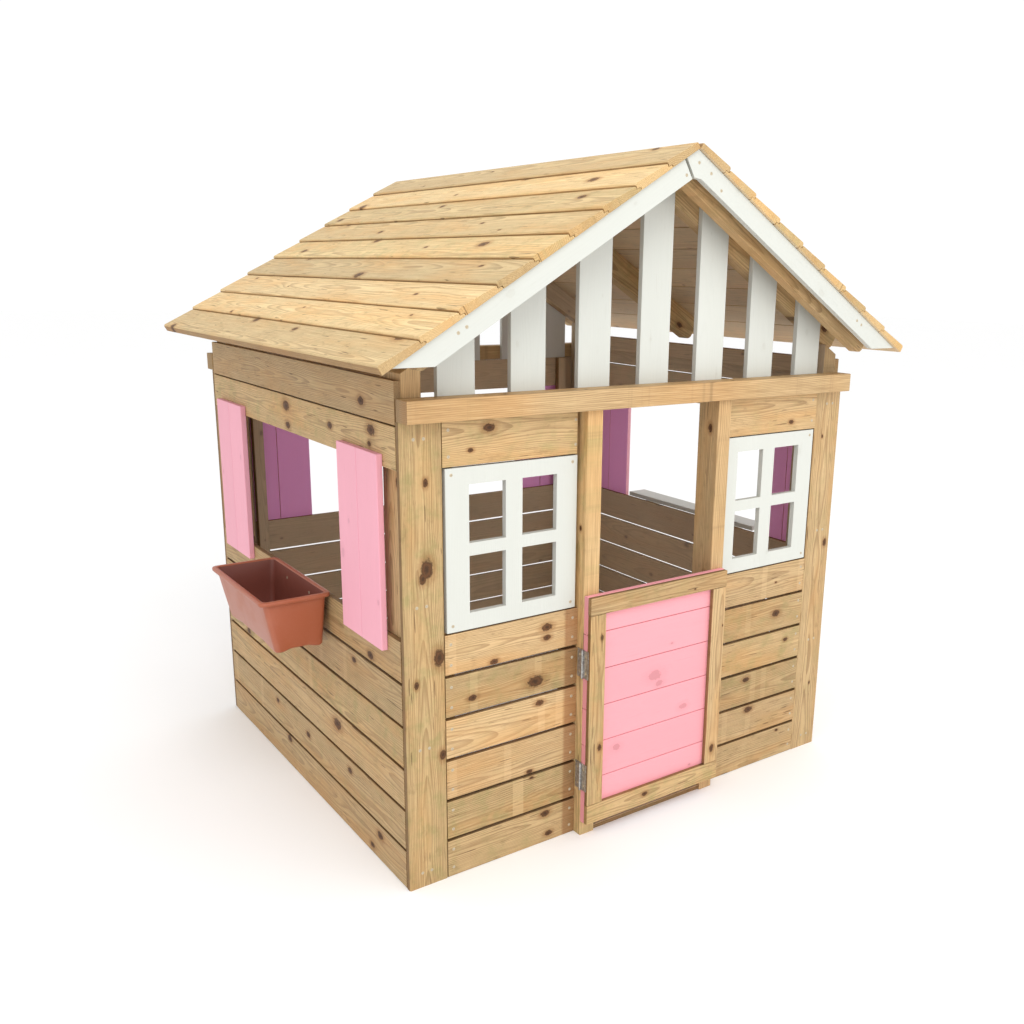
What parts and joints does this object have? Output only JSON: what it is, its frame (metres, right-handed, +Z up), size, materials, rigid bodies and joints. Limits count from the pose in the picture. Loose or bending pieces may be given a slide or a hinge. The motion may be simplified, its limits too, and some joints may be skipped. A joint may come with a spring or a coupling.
{
  "type": "wooden playhouse",
  "caption": "Free-standing wooden garden playhouse with a pitched board roof, slatted gables, window frames, fixed shutters, a side shelf, a hanging planter tub and a hinged half door.",
  "frame": {"origin": "centre of the overall footprint, on the ground", "axes": "+X to the right seen from the front, +Y from the front gable to the rear, +Z up"},
  "size_m": [1.5728, 1.415, 1.596],
  "materials": {
    "treated_wood": "pressure-treated planed softwood, matt",
    "roof_wood": "planed softwood, matt, lighter",
    "white_paint": "white painted wood, satin",
    "pink_shutter": "pink painted wood, matt",
    "pink_door": "pink stained wood, matt",
    "terracotta_plastic": "moulded plastic, satin",
    "zinc_steel": "zinc plated, dull"
  },
  "bodies": {
    "house": {"bargeboard_front_left": "white_paint", "bargeboard_front_right": "white_paint", "bargeboard_rear_left": "white_paint", "bargeboard_rear_right": "white_paint", "corner_post_front_left": "treated_wood", "corner_post_front_right": "treated_wood", "corner_post_rear_left": "treated_wood", "corner_post_rear_right": "treated_wood", "corner_stud_front_left": "treated_wood", "corner_stud_front_right": "treated_wood", "corner_stud_rear_left": "treated_wood", "corner_stud_rear_right": "treated_wood", "door_jamb_left": "treated_wood", "door_jamb_right": "treated_wood", "fly_rafters_front": "treated_wood", "fly_rafters_rear": "treated_wood", "front_beam": "treated_wood", "front_lower_boards_left": "treated_wood", "front_lower_boards_right": "treated_wood", "front_screws": "zinc_steel", "front_upper_boards": "treated_wood", "gable_rafters_front": "treated_wood", "gable_rafters_rear": "treated_wood", "gable_slats_front": "white_paint", "gable_slats_rear": "white_paint", "hinge_leaves_fixed": "zinc_steel", "hinge_pins": "zinc_steel", "hinge_screws_fixed": "zinc_steel", "left_wall_lower_boards": "treated_wood", "left_wall_upper_boards": "treated_wood", "middle_rafters": "treated_wood", "planter": "terracotta_plastic", "planter_screws": "zinc_steel", "rear_beam": "treated_wood", "rear_lower_boards": "treated_wood", "rear_upper_board": "treated_wood", "ridge_board": "treated_wood", "right_wall_lower_boards": "treated_wood", "right_wall_upper_boards": "treated_wood", "roof_boards_left": "roof_wood", "roof_boards_right": "roof_wood", "shutter_left_wall_front": "pink_shutter", "shutter_left_wall_rear": "pink_shutter", "shutter_rear_wall_left": "pink_shutter", "shutter_rear_wall_right": "pink_shutter", "shutter_right_wall_front": "pink_shutter", "shutter_right_wall_rear": "pink_shutter", "side_shelf": "white_paint", "threshold": "treated_wood", "wall_battens": "treated_wood", "wall_plates": "treated_wood", "window_left": "white_paint", "window_right": "white_paint"},
    "door": {"door_boards": "pink_door", "door_top_rail": "treated_wood", "door_bottom_rail": "treated_wood", "door_stile_left": "treated_wood", "door_stile_right": "treated_wood", "hinge_leaves_moving": "zinc_steel", "hinge_screws_moving": "zinc_steel"}
  },
  "joints": [
    {"name": "door_hinge", "type": "hinge", "parent": "house", "child": "door", "pos_m": [-0.17773, -0.61675, 0.3], "axis": [0, 0, -1], "range_deg": [0, 160]}
  ]
}
